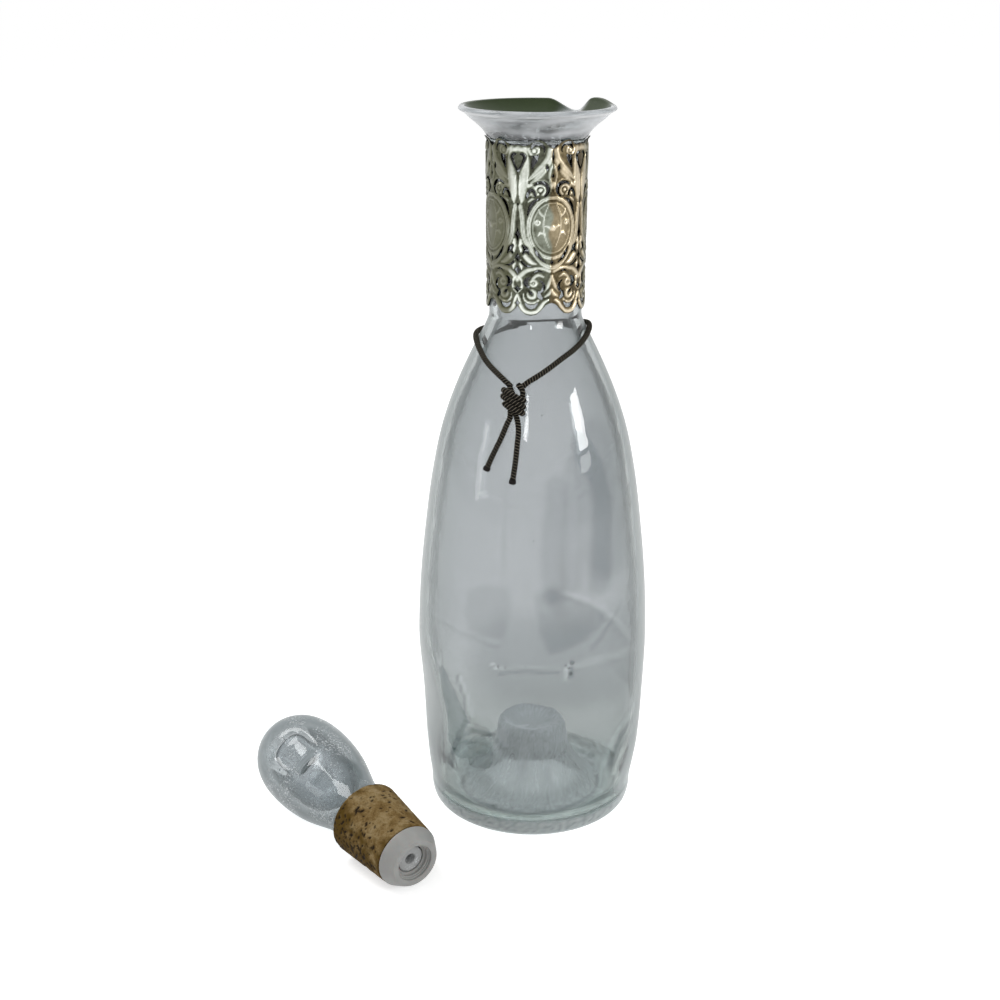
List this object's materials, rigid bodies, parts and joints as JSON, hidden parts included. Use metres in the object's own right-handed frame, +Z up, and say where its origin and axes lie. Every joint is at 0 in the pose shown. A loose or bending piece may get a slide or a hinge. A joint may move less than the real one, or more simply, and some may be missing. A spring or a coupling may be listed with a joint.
{
  "type": "glass decanter with stopper",
  "caption": "Blown glass decanter with a spouted lip and pinched body, a pierced metal neck collar, a knotted cord and a cork stopper with a glass finial lying beside it.",
  "frame": {"origin": "on the table, at the middle of the footprint of the bottle and the stopper lying beside it", "axes": "+Z up along the bottle's axis, -Y towards the front where the cord is knotted, the stopper lies on the -X side"},
  "size_m": [0.1682, 0.1382, 0.3013],
  "materials": {
    "clear_glass": "clear, faintly grey-green",
    "finial_glass": "clear, with fine bubbles",
    "aged_brass": "silvered and aged, dark in the recesses",
    "dark_braid": "matte braid",
    "cork": "natural cork with dark pits",
    "white_plastic": "milky, semi-gloss"
  },
  "bodies": {
    "decanter": {"glass_body": "clear_glass", "neck_collar": "aged_brass"},
    "cord": {"cord_loop": "dark_braid", "cord_knot": "dark_braid", "cord_tail_left": "dark_braid", "cord_tail_right": "dark_braid"},
    "stopper": {"stopper_finial": "finial_glass", "stopper_cork": "cork", "stopper_liner": "white_plastic"}
  },
  "joints": [
    {"name": "cord_turn", "type": "hinge", "parent": "decanter", "child": "cord", "pos_m": [0.03532, 0.02035, 0.2], "axis": [0, 0, 1], "continuous": true},
    {"name": "stopper_lift", "type": "slide", "parent": "decanter", "child": "stopper", "axis": [0, 0, 1], "range_m": [0, 0.34]}
  ]
}
